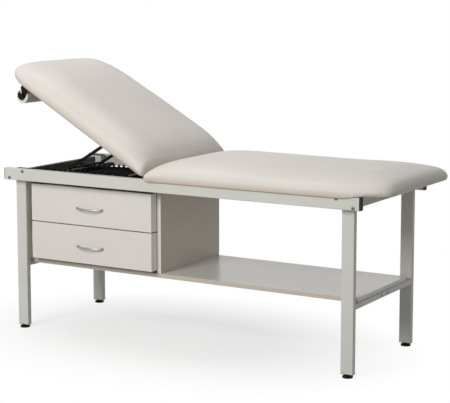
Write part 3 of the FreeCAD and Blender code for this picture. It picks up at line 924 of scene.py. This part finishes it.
@dataclass
class Boards:
    """The laminated boards of one node, with eased edges."""

    node: str
    finish: Finish
    ease: float = 0.0009

    def build(self) -> bpy.types.Object:
        """The boards as one piece, in place of their node.

        Returns:
            The piece.
        """
        bm = bmesh.new()
        for low, high in solid_boxes(self.node):
            add_block(bm, low, high)
        ease_edges(bm, bm.edges[:], self.ease)
        piece = new_piece(self.node + "_board", bm)
        stand_in(piece, self.node, self.finish)
        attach(piece, body_of(self.node))
        return piece


@dataclass
class DrawerFront:
    """A drawer front whose foot end returns towards the cabinet panel."""

    node: str
    panel_face: float
    panel_gap: float = 0.0007
    reveal: float = 0.0008
    return_thickness: float = 0.009
    ease: float = 0.0008
    sharp_angle: float = 0.1

    def build(self) -> bpy.types.Object:
        """The front, in place of its node.

        Returns:
            The piece.
        """
        low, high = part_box(self.node)
        low.z += self.reveal
        high.z -= self.reveal
        bm = bmesh.new()
        add_block(bm, low, high)
        inner = high.x - self.return_thickness
        whole = bm.verts[:] + bm.edges[:] + bm.faces[:]
        bmesh.ops.bisect_plane(bm, geom=whole, plane_co=(inner, 0, 0), plane_no=(1, 0, 0))
        bm.normal_update()
        rear = [face for face in bm.faces if face.normal.y > FACING]
        end = [face for face in rear if face.calc_center_median().x > inner]
        returned = bmesh.ops.extrude_discrete_faces(bm, faces=end)["faces"]
        depth = Vector((0, self.panel_face - self.panel_gap - high.y, 0))
        bmesh.ops.translate(bm, vec=depth, verts=returned[0].verts)
        tidied(bm)
        corners = [edge for edge in bm.edges if edge.calc_face_angle(0.0) > self.sharp_angle]
        ease_edges(bm, corners, self.ease)
        piece = new_piece(self.node + "_board", bm)
        stand_in(piece, self.node, FRONT_BOARD)
        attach(piece, body_of(self.node))
        return piece


@dataclass
class Fasteners:
    """Round-headed screws of one node that stand out along one axis."""

    node: str
    axis: Axis
    drive: Drive
    shank_share: float
    head_height: float
    recess_share: float = 0.42
    recess_depth_share: float = 0.55
    recess_lip_share: float = 0.96
    rim_share: float = 0.25
    arm_share: float = 0.36
    dome_steps: int = 5
    segments: int = 48

    def recess_radius(self, angle: float, size: float) -> float:
        """Distance from the middle to the wall of the recess.

        Args:
            angle: direction about the head.
            size: largest radius of the recess.

        Returns:
            The distance.
        """
        sector = FULL_TURN / self.drive.value
        off = (angle + sector / 2) % sector - sector / 2
        if self.drive is Drive.HEXAGON:
            apothem = size * math.cos(sector / 2)
            return apothem / math.cos(abs(off) - sector / 2)
        half_arm = size * self.arm_share / 2
        return min(size / math.cos(off), half_arm / max(abs(math.sin(off)), half_arm / size))

    def profile(self, length: float, radius: float) -> list[tuple[float, float]]:
        """Half of a fastener's outline, from the foot of its shank to the mouth of its recess.

        Args:
            length: the fastener's whole length.
            radius: radius of its head.

        Returns:
            Distance from the axis and height of each point.
        """
        seat = length - self.head_height
        shank = radius * self.shank_share
        mouth = radius * self.recess_share
        rim = seat + self.head_height * self.rim_share
        points = [(0.0, 0.0), (shank, 0.0), (shank, seat), (radius, seat), (radius, rim)]
        for index in range(1, self.dome_steps + 1):
            across = radius + (mouth - radius) * index / self.dome_steps
            rise = math.sqrt(1 - (max(across - mouth, 0.0) / (radius - mouth)) ** 2)
            points.append((across, rim + (length - rim) * rise))
        return points

    def head(self, length: float, radius: float) -> bmesh.types.BMesh:
        """One fastener standing on the origin along Z, with its head on top.

        Args:
            length: its whole length.
            radius: radius of its head.

        Returns:
            The shape.
        """
        bm = bmesh.new()
        line = [bm.verts.new((across, 0.0, height)) for across, height in self.profile(length, radius)]
        edges = [bm.edges.new(pair) for pair in zip(line, line[1:])]
        bmesh.ops.spin(
            bm, geom=line + edges, cent=(0, 0, 0), axis=(0, 0, 1), angle=FULL_TURN,
            steps=self.segments, use_merge=True,
        )
        bmesh.ops.remove_doubles(bm, verts=bm.verts, dist=MERGE_DISTANCE)
        mouth = [edge for edge in bm.edges if edge.is_boundary]
        lip = bmesh.ops.extrude_edge_only(bm, edges=mouth)["geom"]
        size = radius * self.recess_share * self.recess_lip_share
        for vertex in only(bmesh.types.BMVert, lip):
            angle = math.atan2(vertex.co.y, vertex.co.x)
            reach = self.recess_radius(angle, size)
            vertex.co = Vector((reach * math.cos(angle), reach * math.sin(angle), length))
        wall = bmesh.ops.extrude_edge_only(bm, edges=only(bmesh.types.BMEdge, lip))["geom"]
        sink = Vector((0, 0, -self.head_height * self.recess_depth_share))
        bmesh.ops.translate(bm, vec=sink, verts=only(bmesh.types.BMVert, wall))
        bmesh.ops.edgeloop_fill(bm, edges=only(bmesh.types.BMEdge, wall))
        bmesh.ops.recalc_face_normals(bm, faces=bm.faces)
        return bm

    def build(self) -> bpy.types.Object:
        """All the fasteners as one piece, in place of their node.

        Returns:
            The piece.
        """
        bm = bmesh.new()
        along = self.axis.value
        for low, high in solid_boxes(self.node):
            middle = (low + high) / 2
            outward = Vector((0, 0, 0))
            outward[along] = math.copysign(1.0, middle[along])
            length = high[along] - low[along]
            tail = middle - outward * length / 2
            one = self.head(length, (high.z - low.z) / 2)
            turn = outward.to_track_quat("Z", "Y").to_matrix().to_4x4()
            bmesh.ops.transform(one, matrix=Matrix.Translation(tail) @ turn, verts=one.verts)
            shape = bpy.data.meshes.new("one_fastener")
            one.to_mesh(shape)
            one.free()
            bm.from_mesh(shape)
            bpy.data.meshes.remove(shape)
        piece = new_piece(self.node + "_heads", bm)
        stand_in(piece, self.node, BOLT_STEEL)
        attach(piece, body_of(self.node))
        return piece


@dataclass
class Cushion:
    """A foam cushion in taut vinyl, grown from its CAD solid."""

    node: str
    toward: int
    tilt: float
    hinge: Vector
    rail_face: float
    lift: float
    side_drop: float
    lip_drop: float
    hinge_raise: float
    end_drop: float
    tail_grow: float
    far_drop: float
    # The even skin, and how the foam presses it out.
    voxel: float = 0.009
    smoothing: int = 3
    rounding: int = 30
    firm_height: float = 0.014
    firm_end: float = 0.05
    base_facing: float = 0.4
    swell_limit: float = 0.010
    swell_smoothing: int = 80
    pressure: float = 4.0
    frames: int = 20
    # How the height falls off towards the sides, the far end and the corners.
    side_reach: float = 0.24
    end_reach: float = 0.45
    corner_drop: float = 0.62
    corner_reach: float = 0.15
    far_reach: float = 0.26
    # The lower edge that hangs down outside the rail.
    lip_clearance: float = 0.003
    lip_spread: float = 0.009
    lip_height: float = 0.035
    lip_end: float = 1.03
    lip_fade: float = 0.08
    # The round far corners.
    corner_radius: float = 0.13
    corner_height: float = 0.075
    # The hinge end, filled out towards the other cushion.
    end_gap_fill: float = 0.0065
    end_fill: float = 0.0155
    end_fill_height: float = 0.055
    end_fade: float = 0.16
    # The lower edge, drawn in all round and up at its ends.
    tuck: float = 0.008
    tuck_height: float = 0.030
    tail_raise: float = 0.013
    tail_start: float = 0.16
    tail_full: float = 0.02
    raise_length: float = 0.24
    # A fold length at the hinge, which nothing reads, and the height of the warm shade painted along the lower
    # edge.
    fold_length: float = 0.085
    lower_edge_shade_height: float = 0.024

    def to_flat(self) -> Matrix:
        """Turn from the table's frame to the flat cushion's own, with X along it from the hinge."""
        turn = Matrix.Rotation(-self.tilt, 4, "Y")
        return Matrix.Diagonal((self.toward, self.toward, 1, 1)) @ turn @ Matrix.Translation(-self.hinge)

    def remeshed(self) -> bpy.types.Object:
        """An even skin of quads over a copy of the CAD solid.

        Returns:
            The skin, laid flat.
        """
        bm = merged_copy(self.node)
        bmesh.ops.transform(bm, matrix=self.to_flat(), verts=bm.verts)
        skin = new_piece(self.node + "_cushion", bm)
        remesh = skin.modifiers.new("even_quads", "REMESH")
        remesh.mode = "VOXEL"
        remesh.voxel_size = self.voxel
        skin.data = evaluated_mesh(skin)
        skin.modifiers.clear()
        return skin

    def crown(self, x: float, side: float, end: float) -> float:
        """How much of its CAD height the cushion keeps at one place.

        Args:
            x: distance from the hinge end.
            side: distance from the long side.
            end: distance from the far end.

        Returns:
            The share of the height.
        """
        flank = 1 - self.side_drop * slack(side, self.side_reach)
        tail = 1 - self.end_drop * slack(end, self.end_reach)
        corner = 1 - self.corner_drop * slack(side, self.corner_reach) * slack(x, self.corner_reach)
        far_corner = 1 - self.far_drop * slack(side, self.far_reach) * slack(end, self.far_reach)
        return self.lift * flank * tail * corner * far_corner

    def hinge_fill(self, point: Vector) -> float:
        """How far a point of the hinge end is filled out towards the other cushion."""
        fill = self.end_gap_fill + self.end_fill * smooth_step(point.z, 0.0, self.end_fill_height)
        return fill * (1 - smooth_step(point.x, 0.0, self.end_fade))

    def edge_lift(self, point: Vector, length: float) -> float:
        """How far the lower edge is drawn up at the far end and at the hinge.

        Args:
            point: a point of the flat cushion.
            length: the cushion's length.

        Returns:
            The rise of the edge there.
        """
        tail = smooth_step(point.x, length - self.tail_start, length - self.tail_full)
        start = 1 - smooth_step(point.x, 0.0, self.raise_length)
        return self.tail_raise * tail + self.hinge_raise * start

    def lip(self, point: Vector) -> float:
        """How far a point of the lower edge hangs down outside the rail.

        Args:
            point: a point of the flat cushion.

        Returns:
            The drop of the edge there.
        """
        clear = self.rail_face + self.lip_clearance
        outside = smooth_step(abs(point.y), clear, clear + self.lip_spread)
        low = 1 - smooth_step(point.z, 0.0, self.lip_height)
        along = 1 - smooth_step(point.x, self.lip_end, self.lip_end + self.lip_fade)
        return self.lip_drop * outside * low * along

    def rounded(self, point: Vector, half_width: float, length: float) -> Vector:
        """A point drawn in to the round far corners, which widen towards the top.

        Args:
            point: a point of the flat cushion.
            half_width: half of the cushion's width.
            length: the cushion's length.

        Returns:
            The point, moved where it lies outside its corner.
        """
        radius = self.corner_radius * smooth_step(point.z, 0.0, self.corner_height)
        centre = Vector((length - radius, half_width - radius))
        out = Vector((point.x, abs(point.y))) - centre
        if min(out) <= 0 or out.length <= radius:
            return point
        drawn = centre + out.normalized() * radius
        return Vector((drawn.x, math.copysign(drawn.y, point.y), point.z))

    def reshaped(self, point: Vector, normal: Vector, half_width: float, length: float) -> Vector:
        """A point of the crowned cushion, filled out at the hinge and drawn in at its lower edge.

        Args:
            point: a point of the flat cushion.
            normal: the way that its surface faces.
            half_width: half of the cushion's width.
            length: the cushion's length.

        Returns:
            The moved point.
        """
        height = point.z * self.crown(point.x, half_width - abs(point.y), length - point.x)
        outward = Vector((normal.x, normal.y, 0))
        low = 1 - smooth_step(point.z, 0.0, self.tuck_height)
        drawn = low * smooth_step(point.x, 0.0, self.firm_end)
        height += self.edge_lift(point, length) * low * outward.length - self.lip(point)
        grown = point.x + self.tail_grow * smooth_step(point.x, length / 2, length)
        moved = Vector((grown - self.hinge_fill(point), point.y, height))
        return moved - outward * self.tuck * drawn

    def shaped(self, skin: bpy.types.Object) -> None:
        """Gives the even skin its crown, its filled hinge end and its lip.

        Args:
            skin: the even skin, which is changed.
        """
        bm = bmesh.new()
        bm.from_mesh(skin.data)
        for _ in range(self.smoothing):
            bmesh.ops.smooth_vert(bm, verts=bm.verts, **EVEN_SMOOTHING)
        half_width = max(vertex.co.y for vertex in bm.verts)
        length = max(vertex.co.x for vertex in bm.verts)
        soft = [v for v in bm.verts if v.co.z > self.firm_height and v.co.x > self.firm_end]
        for _ in range(self.rounding):
            bmesh.ops.smooth_vert(bm, verts=soft, **EVEN_SMOOTHING)
        bm.normal_update()
        for vertex in bm.verts:
            corner = self.rounded(vertex.co, half_width, length)
            vertex.co = self.reshaped(corner, vertex.normal, half_width, length)
        bm.to_mesh(skin.data)
        bm.free()

    def is_held(self, vertex: bpy.types.MeshVertex) -> bool:
        """Whether a point lies on the base or on the hinge end, where the skin stays put."""
        at_hinge = vertex.normal.x < -FACING and vertex.co.x < self.end_fade
        return vertex.normal.z < -self.base_facing or at_hinge

    def stuffed(self, skin: bpy.types.Object, held: list[int]) -> list[Vector]:
        """Where the skin's points go when the foam presses it out.

        Args:
            skin: the even skin.
            held: indices of the points that stay.

        Returns:
            The new points.
        """
        group = skin.vertex_groups.new(name="held")
        group.add(held, 1.0, "REPLACE")
        cloth = skin.modifiers.new("stuffing", "CLOTH")
        cloth.settings.use_pressure = True
        cloth.settings.uniform_pressure_force = self.pressure
        cloth.settings.vertex_group_mass = group.name
        cloth.settings.effector_weights.gravity = 0
        cloth.point_cache.frame_start = 1
        cloth.point_cache.frame_end = self.frames
        scene = bpy.context.scene
        for number in range(1, self.frames + 1):
            scene.frame_set(number)
        swollen = evaluated_mesh(skin)
        points = [vertex.co.copy() for vertex in swollen.vertices]
        skin.modifiers.clear()
        skin.vertex_groups.clear()
        scene.frame_set(1)
        bpy.data.meshes.remove(swollen)
        return points

    def swell(self, skin: bpy.types.Object) -> None:
        """Lets the foam press the skin out, within a limit and evened over the surface.

        Args:
            skin: the shaped skin, which is changed.
        """
        vertices = skin.data.vertices
        held = [vertex.index for vertex in vertices if self.is_held(vertex)]
        shifts = bmesh.new()
        shifts.from_mesh(skin.data)
        for shift, vertex, swollen in zip(shifts.verts, vertices, self.stuffed(skin, held)):
            shift.co = swollen - vertex.co
            if shift.co.length > self.swell_limit:
                shift.co.length = self.swell_limit
        still = set(held)
        loose = [shift for shift in shifts.verts if shift.index not in still]
        for _ in range(self.swell_smoothing):
            bmesh.ops.smooth_vert(shifts, verts=loose, **EVEN_SMOOTHING)
        for shift, vertex in zip(shifts.verts, vertices):
            vertex.co += shift.co
        shifts.free()

    def paint_lower_edge_shade(self, mesh: bpy.types.Mesh) -> None:
        """Marks the lowest part of the flat cushion, where warm shade is painted along the lower edge.

        Args:
            mesh: the flat cushion's mesh, which gets the mark as an attribute.
        """
        lower_edge_shade = mesh.attributes.new(LOWER_EDGE_SHADE, "FLOAT", "POINT")
        low = min(vertex.co.z for vertex in mesh.vertices)
        for vertex, mark in zip(mesh.vertices, lower_edge_shade.data):
            mark.value = 1 - smooth_step(vertex.co.z, low, low + self.lower_edge_shade_height)

    def build(self) -> bpy.types.Object:
        """The finished cushion, in place of its CAD solid.

        Returns:
            The cushion.
        """
        skin = self.remeshed()
        self.shaped(skin)
        self.swell(skin)
        softened = skin.modifiers.new("softened", "SUBSURF")
        softened.levels = 1
        softened.render_levels = 1
        skin.data = evaluated_mesh(skin)
        skin.modifiers.clear()
        self.paint_lower_edge_shade(skin.data)
        skin.data.transform(self.to_flat().inverted())
        for polygon in skin.data.polygons:
            polygon.use_smooth = True
        stand_in(skin, self.node, UPHOLSTERY)
        return skin

    def carry(self, cushion: bpy.types.Object) -> None:
        """Fixes the cushion to the table when that is its body, and otherwise bakes its place into its mesh.

        Args:
            cushion: the finished cushion.
        """
        body = body_of(self.node)
        if body == "table":
            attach(cushion, body)
            return
        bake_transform(cushion)


@dataclass
class PaperRoll:
    """The wound paper on its card core under the head end."""

    axis: Vector
    rings: int = 9
    ring_step: float = 0.0009
    rim: float = 0.0015
    segments: int = 64

    def profile(self) -> list[tuple[float, float]]:
        """Outline of the paper's section, with uneven windings at both ends.

        Returns:
            Radius and place along the roll of each point.
        """
        low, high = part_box("paper_roll")
        core_low, core_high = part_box("paper_core")
        outer = (high.z - low.z) / 2
        inner = (core_high.z - core_low.z) / 2
        half = (high.y - low.y) / 2
        points = [(inner, -half)]
        for index in range(1, 2 * self.rings):
            radius = inner + (outer - inner) * index / (2 * self.rings)
            points.append((radius, -half + (index % 2) * self.ring_step))
        points += [(outer - self.rim, -half), (outer, -half + self.rim)]
        return points + [(radius, -y) for radius, y in reversed(points)]

    def build(self) -> bpy.types.Object:
        """A roll whose ends show uneven windings, and the finish of its core.

        Returns:
            The roll, in place of its CAD solid.
        """
        bm = bmesh.new()
        ring = [bm.verts.new(self.axis + Vector((radius, y, 0))) for radius, y in self.profile()]
        edges = [bm.edges.new(pair) for pair in zip(ring, ring[1:] + ring[:1])]
        bmesh.ops.spin(
            bm, geom=ring + edges, cent=self.axis, axis=(0, 1, 0), angle=FULL_TURN,
            steps=self.segments, use_merge=True,
        )
        tidied(bm)
        roll = new_piece("wound_paper", bm)
        paper = WoundPaper("wound_paper", PAPER_WHITE, self.axis.x, self.axis.z)
        stand_in(roll, "paper_roll", paper)
        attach(roll, "paper")
        card = WoundPaper("roll_card", CARD_BROWN, self.axis.x, self.axis.z)
        put_on(frame["nodes"]["paper_core"], card)
        return roll


@dataclass(frozen=True)
class Lamp:
    """One soft square lamp, with the point that it faces, the length of its side and its watts."""

    name: str
    place: tuple[float, float, float]
    aim: tuple[float, float, float]
    side: float
    power: float

    def build(self) -> None:
        """Hangs the lamp in the scene."""
        data = bpy.data.lights.new(self.name, "AREA")
        data.size = self.side
        data.energy = self.power
        lamp = bpy.data.objects.new(self.name, data)
        lamp.location = self.place
        sight = Vector(self.aim) - Vector(self.place)
        lamp.rotation_euler = sight.to_track_quat("-Z", "Y").to_euler()
        bpy.context.scene.collection.objects.link(lamp)


@dataclass
class Studio:
    """Pale floor, soft lights and the camera."""

    camera_place: Vector
    azimuth: float
    pitch: float
    lens: float
    shift: float
    view_depth: float = 100.0
    floor_size: float = 30.0
    floor_pale: Colour = linear(248, 247, 246)
    floor_paler: Colour = linear(252, 251, 250)
    floor_bounce: Colour = linear(164, 163, 162)
    mottles_per_metre: float = 3.0
    shadow_x: float = -0.2
    shadow_y: float = -0.1
    shadow_squeeze: float = 2.0
    fade_start: float = 0.45
    fade_end: float = 1.15
    ambient: float = 0.35
    white_share: float = 0.6
    lamps: tuple[Lamp, ...] = (
        Lamp("key_lamp", place=(-0.7, -4.4, 2.8), aim=(0.0, 0.0, 0.6), side=2.0, power=150.0),
        Lamp("top_lamp", place=(-0.8, 0.2, 3.2), aim=(0.0, 0.0, 0.7), side=1.4, power=22.0),
    )

    def background_share(self, graph: Graph) -> Signal:
        """How much a ray looks at the background straight, in a reflection or through glass.

        Args:
            graph: the graph of the floor or the world.

        Returns:
            1 for such rays, 0 for others.
        """
        path = graph.add("ShaderNodeLightPath")
        seen = Signal(graph, path.outputs["Is Camera Ray"])
        for name in ("Is Glossy Ray", "Is Transmission Ray"):
            seen = seen.largest(Signal(graph, path.outputs[name]))
        return seen

    def floor_material(self) -> bpy.types.Material:
        """Pale ground that takes the shadow under the table and fades to white around it.

        Returns:
            The material.
        """
        material = bpy.data.materials.new("pale_floor")
        material.use_nodes = True
        graph = Graph(material.node_tree)
        x, y, _ = graph.axes()
        across = x - self.shadow_x
        along = y - self.shadow_y
        distance = (across * across + along * along * self.shadow_squeeze) ** 0.5
        far = distance.ramp(self.white_share, 1.0, self.fade_start, self.fade_end)
        mottle = graph.noise(self.mottles_per_metre, detail=2.0)
        seen = self.background_share(graph)
        pale = graph.blend(mottle, self.floor_pale, self.floor_paler)
        colour = graph.blend(seen, self.floor_bounce, pale)
        ground = graph.add("ShaderNodeBsdfDiffuse", {}, {"Color": colour})
        white = graph.add("ShaderNodeEmission", {}, {"Color": WHITE, "Strength": 1.0})
        layers = {0: far * seen, 1: ground.outputs[0], 2: white.outputs[0]}
        mixed = graph.add("ShaderNodeMixShader", {}, layers)
        graph.add("ShaderNodeOutputMaterial", {}, {"Surface": mixed.outputs[0]})
        return material

    def floor(self) -> None:
        """Lays the floor."""
        bm = bmesh.new()
        bmesh.ops.create_grid(bm, x_segments=1, y_segments=1, size=self.floor_size / 2)
        plane = new_piece("floor", bm)
        plane.data.materials.append(self.floor_material())

    def world(self) -> None:
        """Even light from all round, seen as white."""
        world = bpy.data.worlds.new("white_room")
        world.use_nodes = True
        graph = Graph(world.node_tree)
        strength = self.background_share(graph) * (1.0 - self.ambient) + self.ambient
        sky = graph.add("ShaderNodeBackground", {}, {"Color": WHITE, "Strength": strength})
        graph.add("ShaderNodeOutputWorld", {}, {"Surface": sky.outputs[0]})
        bpy.context.scene.world = world

    def camera(self) -> None:
        """The camera at the photograph's angle."""
        data = bpy.data.cameras.new("camera")
        data.lens = self.lens
        data.shift_y = self.shift
        data.clip_end = self.view_depth
        turn = math.radians(self.azimuth)
        dip = math.radians(self.pitch)
        sight = Vector((-math.sin(turn) * math.cos(dip), math.cos(turn) * math.cos(dip), -math.sin(dip)))
        camera = bpy.data.objects.new("camera", data)
        camera.location = self.camera_place
        camera.rotation_euler = sight.to_track_quat("-Z", "Y").to_euler()
        bpy.context.scene.collection.objects.link(camera)
        bpy.context.scene.camera = camera

    def build(self) -> None:
        """The whole studio."""
        self.floor()
        self.world()
        for lamp in self.lamps:
            lamp.build()
        self.camera()
        bpy.context.scene.view_settings.view_transform = "Standard"


def dress_nodes() -> None:
    """Gives every carried-over CAD node its finish."""
    for finish, names in NODE_FINISHES.items():
        for name in names:
            put_on(frame["nodes"][name], finish)
            log.info("%s: %s", name, finish.name)


def report(piece: bpy.types.Object) -> None:
    """Logs one new piece."""
    log.info("%s: %d faces", piece.name, len(piece.data.polygons))


def build_cabinet() -> None:
    """Builds the boards and the two drawer fronts."""
    for finish, nodes in BOARD_FINISHES.items():
        for node in nodes:
            report(Boards(node, finish).build())
    panel_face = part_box("cabinet_panel_foot")[0].y
    for node in ("drawer_lower_front", "drawer_upper_front"):
        report(DrawerFront(node, panel_face).build())


def build_fasteners() -> None:
    """Builds the rail bolts and the screws of the lower bars."""
    bolts = Fasteners("rail_bolts", Axis.DEPTH, Drive.HEXAGON, shank_share=0.57, head_height=0.004)
    report(bolts.build())
    screws = Fasteners(
        "lower_bar_screws", Axis.LENGTH, Drive.CROSS, shank_share=0.5, head_height=0.0025, recess_share=0.6
    )
    report(screws.build())


def build_cushions() -> None:
    """Builds the seat's and the backrest's cushions and carries each one: a cushion whose body is the table is
    fixed to it.
    """
    tilt_joint = joint("backrest_tilt")
    hinge = Vector(tilt_joint["pos_m"])
    rail_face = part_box("rear_rail")[1].y
    seat = Cushion(
        "seat_pad", toward=1, tilt=0.0, hinge=hinge, rail_face=rail_face, lift=0.98, side_drop=0.15,
        lip_drop=0.018, hinge_raise=0.0, end_drop=-0.22, tail_grow=0.004, far_drop=0.10,
    )
    tilt = math.radians(-tilt_joint["range_deg"][0])
    backrest = Cushion(
        "backrest_pad", toward=-1, tilt=tilt, hinge=hinge, rail_face=rail_face, lift=1.24, side_drop=0.0,
        lip_drop=0.0, hinge_raise=0.010, end_drop=0.02, tail_grow=0.009, far_drop=0.25,
    )
    for cushion in (seat, backrest):
        piece = cushion.build()
        cushion.carry(piece)
        report(piece)


def main() -> None:
    """Builds the table's pieces in order and then the studio."""
    logging.basicConfig(level=logging.INFO, format="%(name)s: %(message)s")
    dress_nodes()
    build_cabinet()
    build_fasteners()
    build_cushions()
    report(PaperRoll(Vector(joint("paper_roll_spin")["pos_m"])).build())
    studio = Studio(
        camera_place=Vector((3.0188, -5.0764, 1.5239)),
        azimuth=30.6407,
        pitch=7.3158,
        lens=112.2,
        shift=-CAMERA_DROP_PIXELS / PHOTO_WIDTH_PIXELS,
    )
    studio.build()


if __name__ == "__main__":
    main()
